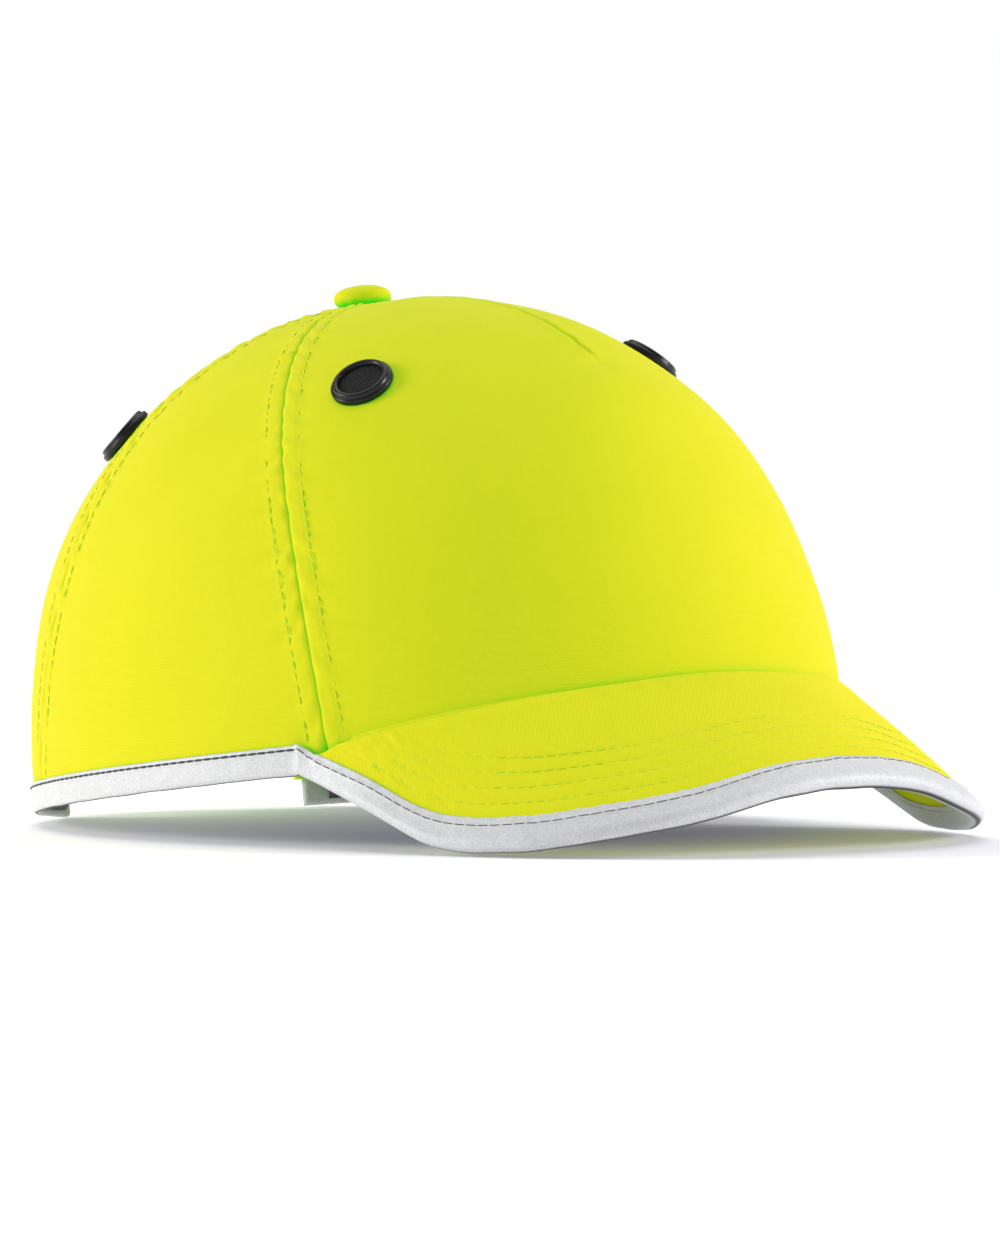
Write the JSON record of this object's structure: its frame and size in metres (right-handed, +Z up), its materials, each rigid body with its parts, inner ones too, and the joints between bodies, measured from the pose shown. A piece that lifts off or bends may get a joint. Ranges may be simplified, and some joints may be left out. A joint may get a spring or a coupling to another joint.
{
  "type": "bump cap",
  "caption": "High-visibility baseball-style bump cap: fabric crown with vents and short curved peak over a removable padded impact shell, with a rear size strap.",
  "frame": {"origin": "bottom centre of the cap's box, on the surface that it rests on", "axes": "+Z up, -Y towards the front of the peak, +X towards the wearer's left. The cap lies as it rests on a table, with its own vertical axis leaning back 6.87 degrees."},
  "size_m": [0.1835, 0.253, 0.1311],
  "materials": {
    "hi_vis_fabric": "fluorescent yellow polyester and cotton twill, matt",
    "reflective_tape": "silver grey glass bead reflective tape",
    "interlining": "white woven buckram",
    "seam_tape": "yellow cotton tape",
    "vent_plastic": "glossy black",
    "vent_mesh": "black fine mesh",
    "rivet_steel": "zinc plated",
    "peak_board": "natural polyethylene sheet",
    "sweatband_fabric": "black terry knit",
    "foam": "black closed cell foam",
    "shell_plastic": "black moulded ABS, fine texture",
    "strap_webbing": "yellow self fabric strap",
    "hook_tape": "yellow nylon hook tape",
    "loop_tape": "yellow brushed loop tape"
  },
  "bodies": {
    "shell": {"impact_shell": "shell_plastic", "crown_pad": "foam", "front_pad": "foam", "rear_pad": "foam", "side_pad_left": "foam", "side_pad_right": "foam"},
    "cover": {"arch_binding": "hi_vis_fabric", "back_panel_left": "hi_vis_fabric", "back_panel_right": "hi_vis_fabric", "brow_pad": "foam", "button_rivet": "rivet_steel", "crown_button": "hi_vis_fabric", "front_interlining": "interlining", "front_panel": "hi_vis_fabric", "hem_binding_left": "reflective_tape", "hem_binding_right": "reflective_tape", "peak_binding": "reflective_tape", "peak_board": "peak_board", "peak_top_cover": "hi_vis_fabric", "peak_under_cover": "hi_vis_fabric", "seam_tape_back": "seam_tape", "seam_tape_front_left": "seam_tape", "seam_tape_front_right": "seam_tape", "seam_tape_side_left": "seam_tape", "seam_tape_side_right": "seam_tape", "side_panel_left": "hi_vis_fabric", "side_panel_right": "hi_vis_fabric", "strap_anchor": "strap_webbing", "sweatband": "sweatband_fabric", "vent_mesh_front_left": "vent_mesh", "vent_mesh_front_right": "vent_mesh", "vent_mesh_rear_left": "vent_mesh", "vent_mesh_rear_right": "vent_mesh", "vent_ring_front_left": "vent_plastic", "vent_ring_front_right": "vent_plastic", "vent_ring_rear_left": "vent_plastic", "vent_ring_rear_right": "vent_plastic", "vent_washer_front_left": "vent_plastic", "vent_washer_front_right": "vent_plastic", "vent_washer_rear_left": "vent_plastic", "vent_washer_rear_right": "vent_plastic"},
    "tail": {"strap_tail": "strap_webbing", "hook_patch": "hook_tape"},
    "tab": {"strap_tab": "strap_webbing", "loop_patch": "loop_tape"}
  },
  "joints": [
    {"name": "cover_lift", "type": "slide", "parent": "shell", "child": "cover", "axis": [0, 0.1196, 0.9928], "range_m": [0, 0.15], "deforming": ["sweatband", "brow_pad"]},
    {"name": "strap_peel", "type": "hinge", "parent": "cover", "child": "tail", "pos_m": [-0.02969, 0.1189, 0.01792], "axis": [0.0132, 0.0874, 0.9961], "range_deg": [0, 95]},
    {"name": "size_adjust", "type": "hinge", "parent": "cover", "child": "tab", "pos_m": [0, 0.04427, 0.00828], "axis": [0, -0.1196, -0.9928], "range_deg": [-12, 12]}
  ]
}
